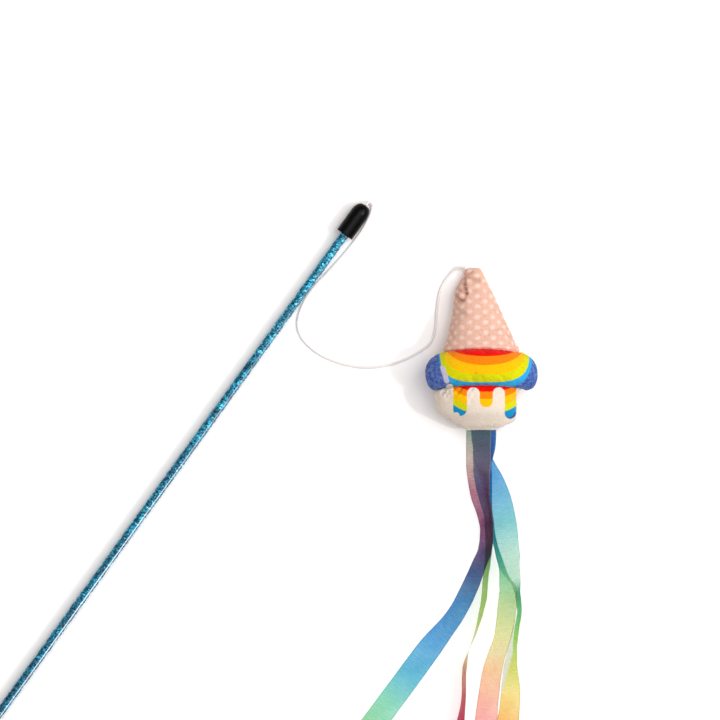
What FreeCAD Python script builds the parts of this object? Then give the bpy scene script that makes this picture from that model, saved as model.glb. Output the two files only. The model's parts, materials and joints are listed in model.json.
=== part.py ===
"""Teaser wand: a foil-filled clear tube with rubber caps, an elastic cord, and a plush cone with four ribbons.

Millimetres. X runs along the wand from handle to tip and Z is up. The origin is on the tube's axis, at the
middle of the handle cap's straight wall. The wand lies on a flat surface that touches both caps from below.
"""

import math
import os

import FreeCAD
import Part

Vector = FreeCAD.Vector
X_AXIS = Vector(1, 0, 0)
Z_AXIS = Vector(0, 0, 1)

# ---- driving dimensions of the wand ----
TUBE_LENGTH = 450.0
TUBE_RADIUS = 3.0
TUBE_BORE_RADIUS = 2.4
FOIL_RADIUS = 2.3
FOIL_WALL = 0.3
FOIL_INSET = 3.0  # the foil stops this far inside each end of the tube
CAP_RADIUS = 4.7
CAP_WALL_LENGTH = 12.9  # straight wall, from the rim to where the nose begins to round
CAP_NOSE_LENGTH = 5.4
CAP_NOSE_FLAT_RADIUS = 1.3
CAP_RIM_ROUNDING = 0.4
CAP_DEPTH = 12.0  # how far the tube goes into each cap
KNOT_ROOM_LENGTH = 3.4  # free space in the tip cap beyond the tube's end
NOSE_HOLE_RADIUS = 0.8

# ---- driving dimensions of the cord ----
CORD_RADIUS = 0.65
TIP_KNOT_RADIUS = 1.6
TOY_KNOT_RADIUS = 1.1
KNOT_GAP = 0.3
STUB_INSET = 0.15
THREAD_RADIUS = 0.35

# ---- driving dimensions of the toy and its ribbons ----
SHELL = 1.0  # thickness of the plush fabric
STUFFING_GAP = 1.1
BASE_FILL_GAP = 0.8  # more room where the base turns in to its seam
SEAM_TAB_LENGTH = 0.7
SEAM_CLEARANCE = 1.6  # from the stitched tab to the ribbons' ends, so that they swing free of it
SEAM_TAB_WIDTH = 16.0
RIBBON_WIDTH = 12.7
RIBBON_THICKNESS = 0.3
RIBBON_LAYER = 1.2  # from one ribbon up to the next
TOY_TURN = -54.2  # degrees about Z, from "toy straight down the page" to how it lies beside the wand

# ---- places along the wand, worked out from the above ----
HANDLE_RIM_X = CAP_WALL_LENGTH / 2
TUBE_START_X = HANDLE_RIM_X - CAP_DEPTH
TUBE_END_X = TUBE_START_X + TUBE_LENGTH
TIP_RIM_X = TUBE_END_X - CAP_DEPTH
NOSE_X = TIP_RIM_X + CAP_WALL_LENGTH + CAP_NOSE_LENGTH
FLOOR_Z = -CAP_RADIUS
CORD_Z = FLOOR_Z + CORD_RADIUS

# Where the cord's end is sewn into the tip of the cone: along and beside the wand from the nose, and height.
TOY_PIVOT = Vector(NOSE_X + 4.0, -60.0, -1.5)

# The cord's route: offsets from the nose along X, then Y, then height. It leaves the nose, folds back
# beside the cap, runs along the tube, turns round in a wide loop and comes up to the cone's tip.
CORD_ROUTE = [
    (0.8, 0.0, 0.0),
    (2.7, 0.1, -0.7),
    (2.9, -2.0, -2.9),
    (0.6, -3.7, CORD_Z),
    (-3.4, -4.9, CORD_Z),
    (-10.5, -6.1, CORD_Z),
    (-20.5, -6.0, CORD_Z),
    (-34.4, -4.9, CORD_Z),
    (-51.0, -2.4, CORD_Z),
    (-62.2, -3.8, CORD_Z),
    (-70.2, -7.3, CORD_Z),
    (-74.6, -14.0, CORD_Z),
    (-75.6, -25.2, CORD_Z),
    (-72.8, -37.3, CORD_Z),
    (-66.8, -49.4, CORD_Z),
    (-57.2, -59.2, CORD_Z),
    (-46.2, -65.5, CORD_Z),
    (-35.3, -69.1, CORD_Z),
    (-18.6, -58.4, CORD_Z),
    (-9.6, -55.0, CORD_Z),
    (-1.4, -55.6, -3.5),
    (2.1, -56.4, -2.3),
    (3.45, -58.75, -1.65),
]

# The toy lies with its cone tip at the top of the page. Each station: distance down from the pivot,
# middle of the width to the right of the pivot, half width, half thickness.
CONE_STATIONS = [
    (0.3, 3.8, 3.7, 3.0),
    (4.0, 4.1, 5.4, 4.1),
    (11.0, 4.0, 9.0, 6.1),
    (21.0, 5.6, 11.9, 8.6),
    (32.0, 6.9, 15.6, 11.1),
    (42.0, 8.0, 19.0, 13.0),
]
SCOOP_STATIONS = [
    (42.0, 7.9, 20.9, 14.0),
    (45.0, 7.8, 24.4, 15.6),
    (49.5, 7.7, 27.8, 17.0),
    (54.0, 7.9, 28.7, 17.5),
    (58.0, 8.1, 27.8, 17.0),
    (60.5, 7.9, 26.0, 16.0),
]
BASE_STATIONS = [
    (60.5, 5.2, 21.2, 14.5),
    (64.0, 5.2, 21.0, 14.3),
    (68.0, 5.3, 20.7, 14.0),
    (73.5, 6.4, 19.5, 12.4),
    (77.5, 8.6, 15.9, 9.2),
    (80.0, 8.3, 11.6, 6.2),
    (81.8, 7.8, 7.6, 3.2),
]
RISE_STATION = BASE_STATIONS[2]  # from here the underside leaves the surface
SEAM_HEIGHT = 11.4  # of the bottom seam above the surface
SEAM_DOWN = BASE_STATIONS[-1][0]
RIBBON_START = SEAM_DOWN + SEAM_TAB_LENGTH + SEAM_CLEARANCE
DRAPE_END = 128.0  # how far down from the pivot the ribbons reach the surface
DRAPE_HALF_WIDTH = 200.0  # the cutting sheets are wider, longer and taller than all the ribbons together
DRAPE_LENGTH = 400.0
DRAPE_TALL = 60.0
DRAPE_OVERLAP = 5.0

# Middle line of each ribbon, lowest layer first: (right of the pivot, down from the pivot).
RIBBON_ROUTES = {
    "ribbon_d": [(9.5, RIBBON_START), (10.0, 98), (14.0, 112), (18.5, 126), (21.0, 140), (22.6, 154),
                 (25.0, 167), (26.3, 180), (25.8, 193), (24.5, 207), (23.2, 221), (20.0, 250), (16.0, 284)],
    "ribbon_c": [(9.0, RIBBON_START), (10.5, 108), (13.0, 128), (16.0, 142), (19.8, 157), (21.3, 169),
                 (20.0, 182), (16.6, 195), (13.5, 207), (11.0, 222), (7.5, 250), (5.0, 288)],
    "ribbon_b": [(7.9, RIBBON_START), (8.4, 104), (9.7, 118), (11.5, 134), (12.0, 149), (9.9, 162),
                 (7.9, 175), (2.6, 193), (-0.6, 208), (-1.4, 221), (-4.0, 250), (-8.0, 282)],
    "ribbon_a": [(6.9, RIBBON_START), (6.6, 103), (7.2, 118), (9.6, 133), (8.2, 149), (1.4, 164),
                 (-6.0, 178), (-13.8, 189), (-22.2, 200), (-30.3, 210), (-45.6, 230), (-72.0, 268)],
}


def save(shape, node):
    """Write one closed solid as its own sub-part."""
    solid = shape.removeSplitter()
    if not solid.isValid() or len(solid.Solids) != 1:
        raise RuntimeError(f"{node}: {len(solid.Solids)} solids, valid {solid.isValid()}")
    solid.Solids[0].exportStep(f"parts/{node}.step")
    print(f"{node}: {solid.Volume:.1f} mm3")


def rod(start_x, length, radius):
    """Round bar along the wand's axis."""
    return Part.makeCylinder(radius, length, Vector(start_x, 0, 0), X_AXIS)


def place_toy(shape):
    """Turn and move a shape from the toy's own page to where the toy lies."""
    placed = shape.copy()
    placed.rotate(Vector(0, 0, 0), Z_AXIS, TOY_TURN)
    placed.translate(Vector(TOY_PIVOT.x, TOY_PIVOT.y, FLOOR_Z))
    return placed


# ---- the wand ----
def cap_outside(rim_x, direction):
    """Bullet-shaped cap, turned about the wand's axis: rounded rim, straight wall and domed nose."""
    wall_end = CAP_WALL_LENGTH
    nose_end = wall_end + CAP_NOSE_LENGTH
    nose_arc = Part.Ellipse(Vector(wall_end, 0, 0), CAP_NOSE_LENGTH, CAP_RADIUS - CAP_NOSE_FLAT_RADIUS)
    nose_arc.translate(Vector(0, CAP_NOSE_FLAT_RADIUS, 0))
    rim_arc = Part.Arc(
        Vector(0, CAP_RADIUS - CAP_RIM_ROUNDING, 0),
        Vector(CAP_RIM_ROUNDING * (1 - math.cos(math.pi / 4)),
               CAP_RADIUS - CAP_RIM_ROUNDING * (1 - math.sin(math.pi / 4)), 0),
        Vector(CAP_RIM_ROUNDING, CAP_RADIUS, 0),
    )
    edges = [
        Part.LineSegment(Vector(0, 0, 0), Vector(0, CAP_RADIUS - CAP_RIM_ROUNDING, 0)).toShape(),
        rim_arc.toShape(),
        Part.LineSegment(Vector(CAP_RIM_ROUNDING, CAP_RADIUS, 0), Vector(wall_end, CAP_RADIUS, 0)).toShape(),
        Part.Arc(nose_arc, 0, math.pi / 2).toShape(),
        Part.LineSegment(Vector(nose_end, CAP_NOSE_FLAT_RADIUS, 0), Vector(nose_end, 0, 0)).toShape(),
        Part.LineSegment(Vector(nose_end, 0, 0), Vector(0, 0, 0)).toShape(),
    ]
    profile = Part.Face(Part.Wire(Part.__sortEdges__(edges)))
    cap = profile.revolve(Vector(0, 0, 0), X_AXIS, 360)
    if direction < 0:
        cap.rotate(Vector(0, 0, 0), Z_AXIS, 180)
    cap.translate(Vector(rim_x, 0, 0))
    return cap


def make_wand():
    tube = rod(TUBE_START_X, TUBE_LENGTH, TUBE_RADIUS).cut(rod(TUBE_START_X, TUBE_LENGTH, TUBE_BORE_RADIUS))
    save(tube, "clear_tube")

    foil_start = TUBE_START_X + FOIL_INSET
    foil_length = TUBE_LENGTH - 2 * FOIL_INSET
    foil = rod(foil_start, foil_length, FOIL_RADIUS).cut(rod(foil_start, foil_length, FOIL_RADIUS - FOIL_WALL))
    save(foil, "glitter_foil")

    handle_cap = cap_outside(HANDLE_RIM_X, -1).cut(rod(TUBE_START_X, CAP_DEPTH, TUBE_RADIUS))
    save(handle_cap, "handle_cap")

    tip_cap = cap_outside(TIP_RIM_X, 1).cut(rod(TIP_RIM_X, CAP_DEPTH, TUBE_RADIUS))
    tip_cap = tip_cap.cut(rod(TUBE_END_X, KNOT_ROOM_LENGTH, TUBE_BORE_RADIUS))
    tip_cap = tip_cap.cut(rod(TUBE_END_X, NOSE_X - TUBE_END_X, NOSE_HOLE_RADIUS))
    save(tip_cap, "tip_cap")


# ---- the cord ----
def cord_path(points):
    """Straight runs joined by tangent arcs, each arc as large as its two runs allow."""
    edges = []
    tightest = 1e9
    start = points[0]
    for before, corner, after in zip(points, points[1:], points[2:]):
        run_in = corner - before
        run_out = after - corner
        turn = run_in.getAngle(run_out)
        setback = 0.45 * min(run_in.Length, run_out.Length)
        radius = setback / math.tan(turn / 2)
        print(f"  cord turn {math.degrees(turn):.0f} degrees, radius {radius:.1f} mm")
        tightest = min(tightest, radius)
        arc_start = corner - run_in.normalize() * setback
        arc_end = corner + run_out.normalize() * setback
        towards_centre = (arc_start + arc_end) * 0.5 - corner
        reach = radius / math.cos(turn / 2) - radius
        arc_middle = corner + towards_centre.normalize() * reach
        edges.append(Part.LineSegment(start, arc_start).toShape())
        edges.append(Part.Arc(arc_start, arc_middle, arc_end).toShape())
        start = arc_end
    edges.append(Part.LineSegment(start, points[-1]).toShape())
    print(f"  tightest cord radius {tightest:.1f} mm")
    return Part.Wire(edges)


def make_cord():
    stub_end = NOSE_X - STUB_INSET
    knot_x = TUBE_END_X + KNOT_ROOM_LENGTH / 2
    knot = Part.makeSphere(TIP_KNOT_RADIUS, Vector(knot_x, 0, 0))
    save(knot.fuse(rod(knot_x, stub_end - knot_x, CORD_RADIUS)), "tip_knot")

    points = [Vector(NOSE_X + x, y, z) for x, y, z in CORD_ROUTE]
    path = cord_path(points)
    section = Part.Wire(Part.makeCircle(CORD_RADIUS, points[0], points[1] - points[0]))
    cord = path.makePipeShell([section], True, False)
    print(f"  cord length {path.Length:.1f} mm, volume ratio "
          f"{cord.Volume / (math.pi * CORD_RADIUS**2 * path.Length):.4f}")
    save(cord, "elastic_cord")
    save(Part.makeSphere(TOY_KNOT_RADIUS, TOY_PIVOT), "toy_knot")


# ---- the plush toy ----
def centre_height(down, half_thickness):
    """The toy lies on its underside, and its bottom seam stays up at its own height."""
    rise_start, _, _, start_height = RISE_STATION
    if down <= rise_start:
        return half_thickness
    share = (down - rise_start) / (SEAM_DOWN - rise_start)
    return start_height * (1 - share) + SEAM_HEIGHT * share


def station_ellipse(station, inset):
    down, middle, half_width, half_thickness = station
    centre = Vector(middle, -down, centre_height(down, half_thickness))
    return Part.Ellipse(
        centre + Vector(half_width - inset, 0, 0),
        centre + Vector(0, 0, half_thickness - inset),
        centre,
    )


def half_body(stations, first_angle):
    """The part of the toy on one side of its side seams, as a solid."""
    wires = []
    for station in stations:
        arc = Part.Arc(station_ellipse(station, 0), first_angle, first_angle + math.pi).toShape()
        chord = Part.LineSegment(arc.Vertexes[-1].Point, arc.Vertexes[0].Point).toShape()
        wires.append(Part.Wire([arc, chord]))
    return Part.makeLoft(wires, True, False)


def inside_body(stations, inset):
    wires = [Part.Wire(station_ellipse(station, inset).toShape()) for station in stations]
    return Part.makeLoft(wires, True, False)


def knot_pocket():
    """Room for the cord's sewn-in end to turn in."""
    pocket_centre = Vector(0, 0, TOY_PIVOT.z - FLOOR_Z)
    return Part.makeSphere(TOY_KNOT_RADIUS + KNOT_GAP, pocket_centre)


def closed_end(station, shift):
    """A station moved along the toy, where the fabric closes the end of its section."""
    down, middle, half_width, half_thickness = station
    return (down + shift, middle, half_width, half_thickness)


def make_toy():
    cone_inside = inside_body([closed_end(CONE_STATIONS[0], SHELL)] + CONE_STATIONS[1:], SHELL)
    scoop_inside = inside_body(SCOOP_STATIONS, SHELL)
    base_inside = inside_body(BASE_STATIONS[:-1] + [closed_end(BASE_STATIONS[-1], -SHELL / 2)], SHELL)
    sections = {
        "cone": (CONE_STATIONS, cone_inside),
        "scoop": (SCOOP_STATIONS, scoop_inside),
        "base": (BASE_STATIONS, base_inside),
    }
    for name, (stations, inside) in sections.items():
        for side, first_angle in (("front", 0.0), ("back", math.pi)):
            panel = half_body(stations, first_angle).cut(inside)
            if name == "cone":
                panel = panel.cut(knot_pocket())
            save(place_toy(panel), f"{name}_{side}_panel")

    fill_inset = SHELL + STUFFING_GAP
    fill = inside_body(CONE_STATIONS[1:], fill_inset)
    fill = fill.fuse(inside_body(SCOOP_STATIONS, fill_inset))
    fill = fill.fuse(inside_body(BASE_STATIONS[:-2], fill_inset + BASE_FILL_GAP))
    save(place_toy(fill), "stuffing")


def make_seam_threads():
    """The hand-sewn closing on the cone, and the stitched tab that holds the ribbons in the bottom seam."""
    closing_start = Vector(-1.8, -8.2, 9.5)
    closing_end = Vector(-1.2, -14.2, 12.1)
    line = closing_end - closing_start
    thread = Part.makeCylinder(THREAD_RADIUS, line.Length, closing_start, line)
    save(place_toy(thread), "closing_stitches")

    layers_height = 3 * RIBBON_LAYER + RIBBON_THICKNESS
    middle = BASE_STATIONS[-1][1]
    tab = Part.makeBox(
        SEAM_TAB_WIDTH, SEAM_TAB_LENGTH, layers_height,
        Vector(middle - SEAM_TAB_WIDTH / 2, -SEAM_DOWN - SEAM_TAB_LENGTH, SEAM_HEIGHT - layers_height / 2),
    )
    save(place_toy(tab), "ribbon_stitches")


# ---- the ribbons ----
def smooth_edge(points):
    curve = Part.BSplineCurve()
    curve.interpolate(points)
    return curve.toShape()


def ribbon_outline(route):
    """Seen from above: a band of the ribbon's width along its middle line."""
    middle = [Vector(right, -down, 0) for right, down in route]
    left = []
    right = []
    for index, point in enumerate(middle):
        ahead = middle[min(index + 1, len(middle) - 1)]
        behind = middle[max(index - 1, 0)]
        across = (ahead - behind).normalize().cross(Z_AXIS) * (RIBBON_WIDTH / 2)
        left.append(point - across)
        right.append(point + across)
    return Part.Wire([
        smooth_edge(left),
        Part.LineSegment(left[-1], right[-1]).toShape(),
        smooth_edge(right[::-1]),
        Part.LineSegment(right[0], left[0]).toShape(),
    ])


def drape_sheet(layer_height):
    """A wide thin sheet that comes down from the seam in an easy curve and then lies flat."""
    half_drop = (DRAPE_END - RIBBON_START) / 2
    poles = [
        Vector(-DRAPE_HALF_WIDTH, -RIBBON_START + DRAPE_OVERLAP, SEAM_HEIGHT),
        Vector(-DRAPE_HALF_WIDTH, -RIBBON_START - 0.8 * half_drop, SEAM_HEIGHT),
        Vector(-DRAPE_HALF_WIDTH, -RIBBON_START - 1.2 * half_drop, 0),
        Vector(-DRAPE_HALF_WIDTH, -DRAPE_END, 0),
    ]
    curve = Part.BSplineCurve()
    curve.buildFromPoles(poles, False, 3)
    lift = Vector(0, 0, layer_height)
    up = Vector(0, 0, RIBBON_THICKNESS)
    lower = curve.toShape()
    lower.translate(lift)
    upper = lower.copy()
    upper.translate(up)
    far_end = Vector(-DRAPE_HALF_WIDTH, -DRAPE_LENGTH, 0) + lift
    wire = Part.Wire([
        Part.LineSegment(poles[0] + lift + up, poles[0] + lift).toShape(),
        lower,
        Part.LineSegment(poles[-1] + lift, far_end).toShape(),
        Part.LineSegment(far_end, far_end + up).toShape(),
        Part.LineSegment(far_end + up, poles[-1] + lift + up).toShape(),
        upper,
    ])
    return Part.Face(wire).extrude(Vector(2 * DRAPE_HALF_WIDTH, 0, 0))


def make_ribbons():
    for layer, (node, route) in enumerate(RIBBON_ROUTES.items()):
        plan = Part.Face(ribbon_outline(route)).extrude(Vector(0, 0, DRAPE_TALL))
        ribbon = plan.common(drape_sheet(layer * RIBBON_LAYER))
        save(place_toy(ribbon), node)


os.makedirs("parts", exist_ok=True)
make_wand()
make_cord()
make_toy()
make_seam_threads()
make_ribbons()
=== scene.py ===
import json
import math

import bmesh
import bpy
import numpy as np
from mathutils import Matrix, Vector


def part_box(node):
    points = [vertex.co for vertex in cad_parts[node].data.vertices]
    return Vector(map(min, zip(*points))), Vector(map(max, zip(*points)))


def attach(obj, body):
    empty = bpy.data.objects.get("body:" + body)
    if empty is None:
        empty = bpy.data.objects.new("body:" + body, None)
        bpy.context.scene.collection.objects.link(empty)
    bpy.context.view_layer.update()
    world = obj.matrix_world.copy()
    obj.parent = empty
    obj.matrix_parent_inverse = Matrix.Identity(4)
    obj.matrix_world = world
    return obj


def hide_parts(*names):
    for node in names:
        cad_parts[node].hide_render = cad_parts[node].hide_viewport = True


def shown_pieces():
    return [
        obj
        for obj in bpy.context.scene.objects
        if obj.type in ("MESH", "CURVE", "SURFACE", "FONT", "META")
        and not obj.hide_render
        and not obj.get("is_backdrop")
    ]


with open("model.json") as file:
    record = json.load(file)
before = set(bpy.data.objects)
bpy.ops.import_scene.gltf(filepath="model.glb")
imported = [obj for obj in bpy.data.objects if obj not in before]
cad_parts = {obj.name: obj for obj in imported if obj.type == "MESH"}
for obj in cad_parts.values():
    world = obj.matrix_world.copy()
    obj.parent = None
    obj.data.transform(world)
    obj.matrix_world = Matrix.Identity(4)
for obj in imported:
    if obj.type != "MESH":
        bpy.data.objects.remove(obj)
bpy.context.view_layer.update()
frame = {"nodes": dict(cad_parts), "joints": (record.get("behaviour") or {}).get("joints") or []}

# ---- places, all worked out from the frame ----
MM = 0.001
JOINTS = {joint["name"]: joint for joint in frame["joints"]}
NOSE = Vector((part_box("tip_cap")[1].x, 0.0, 0.0))
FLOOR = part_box("tip_cap")[0].z
FLOOR_SLACK = 0.0003  # how far cloth may press into the floor
PIVOT = Vector(JOINTS["toy_lift"]["pos_m"])  # where the cord is sewn into the tip of the cone
LIFT_AXIS = Vector(JOINTS["toy_lift"]["axis"])
PAGE_TURN = math.atan2(-LIFT_AXIS.y, -LIFT_AXIS.x)  # from the toy's own page to the row frame
PAGE_RIGHT = Vector((math.cos(PAGE_TURN), math.sin(PAGE_TURN), 0.0))
PAGE_UP = Vector((-math.sin(PAGE_TURN), math.cos(PAGE_TURN), 0.0))


def page_points(points):
    """Points of the toy's page, in the row frame. On the page they are in mm: right of the pivot, down from
    it and above the floor."""
    points = np.asarray(points, float)
    base = np.array([PIVOT.x, PIVOT.y, FLOOR])
    right, up = np.array(PAGE_RIGHT), np.array(PAGE_UP)
    flat = points[..., 0:1] * right - points[..., 1:2] * up
    return base + MM * (flat + points[..., 2:3] * np.array([0.0, 0.0, 1.0]))


# ---- small helpers for lines and meshes ----
def smooth_through(values, places, at):
    """A Catmull-Rom curve through values at places (rising), sampled at every entry of at."""
    values, places, at = (np.asarray(x, float) for x in (values, places, at))
    slopes = np.empty_like(values)
    slopes[1:-1] = (values[2:] - values[:-2]) / (places[2:] - places[:-2])[:, None]
    slopes[0] = (values[1] - values[0]) / (places[1] - places[0])
    slopes[-1] = (values[-1] - values[-2]) / (places[-1] - places[-2])
    i = np.clip(np.searchsorted(places, at, side="right") - 1, 0, len(places) - 2)
    span = places[i + 1] - places[i]
    t = np.clip((at - places[i]) / span, 0, 1)[:, None]
    span = span[:, None]
    return (
        values[i] * (2 * t**3 - 3 * t**2 + 1)
        + values[i + 1] * (3 * t**2 - 2 * t**3)
        + slopes[i] * span * (t**3 - 2 * t**2 + t)
        + slopes[i + 1] * span * (t**3 - t**2)
    )


def smoothstep(low, high, x):
    t = np.clip((np.asarray(x, float) - low) / (high - low), 0, 1)
    return t * t * (3 - 2 * t)


def travelled(points):
    """The distance along a line of points, at each of them."""
    gaps = np.linalg.norm(np.diff(points, axis=0), axis=-1)
    return np.concatenate([[0.0], np.cumsum(gaps)])


def circle(count):
    """Evenly spaced angles, once round."""
    return np.linspace(0, 2 * math.pi, count + 1)[:-1]


def new_object(name, data):
    made = bpy.data.objects.new(name, data)
    bpy.context.scene.collection.objects.link(made)
    return made


def grid_faces(rows, cols, closed):
    """The four-cornered faces between a grid's points. closed joins the last column to the first."""
    index = np.arange(rows * cols).reshape(rows, cols)
    if closed:
        index = np.concatenate([index, index[:, :1]], axis=1)
    corners = [index[:-1, :-1], index[:-1, 1:], index[1:, 1:], index[1:, :-1]]
    return np.stack(corners, axis=-1).reshape(-1, 4)


def shade_smooth(mesh, smooth):
    mesh.polygons.foreach_set("use_smooth", [smooth] * len(mesh.polygons))


def grid_piece(name, grid, cloth, material, closed=False):
    """A piece from a grid of points in the row frame. cloth, if given, is each point's place on the cloth,
    kept as the UV map."""
    faces = grid_faces(*grid.shape[:2], closed)
    mesh = bpy.data.meshes.new(name)
    mesh.from_pydata(grid.reshape(-1, 3).tolist(), [], faces.tolist())
    if cloth is not None:
        layer = mesh.uv_layers.new(name="cloth")
        flat = np.asarray(cloth, float).reshape(-1, 2)
        layer.data.foreach_set("uv", flat[faces.ravel()].astype(np.float32).ravel())
    shade_smooth(mesh, True)
    mesh.update()
    return piece_of(name, mesh, material)


def piece_of(name, mesh, material):
    piece = new_object(name, mesh)
    mesh.materials.clear()
    mesh.materials.append(material)
    return piece


# ---- small helpers for materials ----
def linear(red, green, blue):
    """An 8-bit sRGB colour as linear light."""
    shares = (red / 255, green / 255, blue / 255)
    return tuple(c / 12.92 if c <= 0.04045 else ((c + 0.055) / 1.055) ** 2.4 for c in shares)


class Number:
    """A value in a node tree: arithmetic with it adds Math nodes."""

    def __init__(self, tree, socket):
        self.tree = tree
        self.socket = socket

    def __add__(self, other):
        return calc(self.tree, "ADD", self, other)

    def __sub__(self, other):
        return calc(self.tree, "SUBTRACT", self, other)

    def __rsub__(self, other):
        return calc(self.tree, "SUBTRACT", other, self)

    def __mul__(self, other):
        return calc(self.tree, "MULTIPLY", self, other)

    def __truediv__(self, other):
        return calc(self.tree, "DIVIDE", self, other)

    def __pow__(self, other):
        return calc(self.tree, "POWER", self, other)

    def __abs__(self):
        return calc(self.tree, "ABSOLUTE", self)


def feed(tree, socket, value):
    """Fills one input from a Number, another node's output, a plain number or a colour."""
    if isinstance(value, Number):
        value = value.socket
    if isinstance(value, bpy.types.NodeSocket):
        tree.links.new(value, socket)
    else:
        socket.default_value = value


def add(tree, kind, inputs=None, **settings):
    """A new node with its settings, and its inputs filled."""
    made = tree.nodes.new(kind)
    for key, value in settings.items():
        setattr(made, key, value)
    for key, value in (inputs or {}).items():
        feed(tree, made.inputs[key], value)
    return made


def calc(tree, operation, *values, clamp=False):
    made = add(tree, "ShaderNodeMath", dict(enumerate(values)), operation=operation, use_clamp=clamp)
    return Number(tree, made.outputs[0])


def larger(first, second):
    return calc(first.tree, "MAXIMUM", first, second)


def smaller(first, second):
    return calc(first.tree, "MINIMUM", first, second)


def length_of(across, along):
    return calc(across.tree, "SQRT", across * across + along * along)


def step(value, low, high):
    """0 below low, 1 above high, smooth between."""
    inputs = {"Value": value, "From Min": low, "From Max": high}
    made = add(value.tree, "ShaderNodeMapRange", inputs, interpolation_type="SMOOTHSTEP")
    return Number(value.tree, made.outputs["Result"])


def below(value, low, high):
    """1 below low, 0 above high, smooth between."""
    return 1.0 - step(value, low, high)


def spread(value, low, high, start=0.0, end=1.0):
    """The value's run from start to end, stretched to go from low to high."""
    inputs = {"Value": value, "From Min": start, "From Max": end, "To Min": low, "To Max": high}
    return Number(value.tree, add(value.tree, "ShaderNodeMapRange", inputs).outputs["Result"])


def blend_colours(tree, share, first, second, blend="MIX"):
    made = add(tree, "ShaderNodeMix", data_type="RGBA", blend_type=blend)
    for number, value in ((0, share), (6, first), (7, second)):
        feed(tree, made.inputs[number], (*value, 1.0) if isinstance(value, tuple) else value)
    return made.outputs[2]


def ramp(tree, value, stops):
    made = add(tree, "ShaderNodeValToRGB", {"Fac": value})
    elements = made.color_ramp.elements
    while len(elements) < len(stops):
        elements.new(0.5)
    for element, (place, colour) in zip(elements, stops):
        element.position = place
        element.color = (*colour, 1.0)
    return made.outputs["Color"]


def noise_at(tree, vector, scale, detail=2.0, roughness=0.5, output="Fac"):
    inputs = {"Vector": vector, "Scale": scale, "Detail": detail, "Roughness": roughness}
    return Number(tree, add(tree, "ShaderNodeTexNoise", inputs).outputs[output])


def stretched(tree, vector, scale, turn=(0, 0, 0)):
    inputs = {"Vector": vector, "Rotation": turn, "Scale": scale}
    return add(tree, "ShaderNodeMapping", inputs).outputs[0]


def combined(tree, operation, first, second):
    """Two vectors added, subtracted or multiplied."""
    return add(tree, "ShaderNodeVectorMath", {0: first, 1: second}, operation=operation).outputs[0]


def object_place(tree):
    return add(tree, "ShaderNodeTexCoord").outputs["Object"]


def page_coordinates(tree):
    """The toy's page in mm, as it lies at rest: X right of the pivot, Y up from it, Z above the floor."""
    in_mm = 1 / MM
    back = Matrix.Rotation(-PAGE_TURN, 3, "Z") @ Vector((PIVOT.x, PIVOT.y, 0.0)) * in_mm
    mapping = add(tree, "ShaderNodeMapping", {
        "Vector": object_place(tree), "Location": (-back.x, -back.y, -FLOOR * in_mm),
        "Rotation": (0, 0, -PAGE_TURN), "Scale": (in_mm, in_mm, in_mm)})
    return mapping.outputs[0]


def cloth_coordinates(tree):
    """Place on the cloth in mm, from the UV map."""
    return add(tree, "ShaderNodeUVMap", uv_map="cloth").outputs[0]


def split(tree, vector):
    made = add(tree, "ShaderNodeSeparateXYZ", {"Vector": vector})
    return [Number(tree, part) for part in made.outputs]


def bump(tree, height, distance, strength):
    inputs = {"Height": height, "Distance": distance, "Strength": strength}
    return add(tree, "ShaderNodeBump", inputs).outputs[0]


def mixed(tree, share, first, second):
    return add(tree, "ShaderNodeMixShader", {0: share, 1: first, 2: second}).outputs[0]


def fill(tree, shader, **values):
    """Fills the shader's inputs by name, with spaces for the underscores."""
    for key, value in values.items():
        feed(tree, shader.inputs[key.replace("_", " ")], value)


def show(tree, surface):
    tree.links.new(surface, tree.nodes["Material Output"].inputs["Surface"])


def new_material(name, **values):
    """A Principled material with these values on its shader's inputs."""
    material = bpy.data.materials.new(name)
    material.use_nodes = True
    tree = material.node_tree
    shader = tree.nodes["Principled BSDF"]
    fill(tree, shader, **values)
    return material, tree, shader


# ---- materials of the wand ----
def rubber_material():
    material, tree, shader = new_material("black_rubber", Specular_IOR_Level=0.1)
    place = object_place(tree)
    blotch = noise_at(tree, place, 260, 4, 0.6)
    grain = noise_at(tree, place, 3200, 3, 0.6)
    scuff = noise_at(tree, stretched(tree, place, (1.0, 6.0, 6.0)), 300, 5)
    fill(tree, shader,
         Base_Color=ramp(tree, blotch, [(0.3, linear(1, 1, 2)), (0.7, linear(5, 5, 7))]),
         Roughness=spread(blotch, 0.2, 0.32),
         Normal=bump(tree, scuff * 0.6 + grain, 0.00005, 0.5))
    return material


def clear_material():
    """Thin clear plastic with a faint gloss: light goes straight through it, and its edges mirror more."""
    material, tree, shader = new_material("clear_plastic", Base_Color=(0.95, 0.98, 1.0, 1), Roughness=0.04,
                                          IOR=1.49, Specular_IOR_Level=0.9)
    place = object_place(tree)
    scratch = noise_at(tree, stretched(tree, place, (4.0, 60.0, 60.0)), 60, 4)
    fill(tree, shader, Roughness=spread(scratch, 0.02, 0.1), Normal=bump(tree, scratch, 0.00003, 0.35))
    facing = Number(tree, add(tree, "ShaderNodeLayerWeight", {"Blend": 0.3}).outputs["Facing"])
    at_edges = spread(facing, 0.0, 0.8, start=0.5)
    through = add(tree, "ShaderNodeBsdfTransparent", {"Color": (0.97, 0.99, 1.0, 1)}).outputs[0]
    away = split(tree, place)
    straight_out = add(tree, "ShaderNodeCombineXYZ", {"Y": away[1], "Z": away[2]}).outputs[0]
    straight_out = add(tree, "ShaderNodeVectorMath", {0: straight_out}, operation="NORMALIZE").outputs[0]
    gloss = add(tree, "ShaderNodeBsdfGlossy", {"Roughness": 0.24, "Normal": straight_out}).outputs[0]
    front = mixed(tree, 0.012, through, gloss)
    show(tree, mixed(tree, at_edges, front, shader.outputs[0]))
    return material


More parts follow.
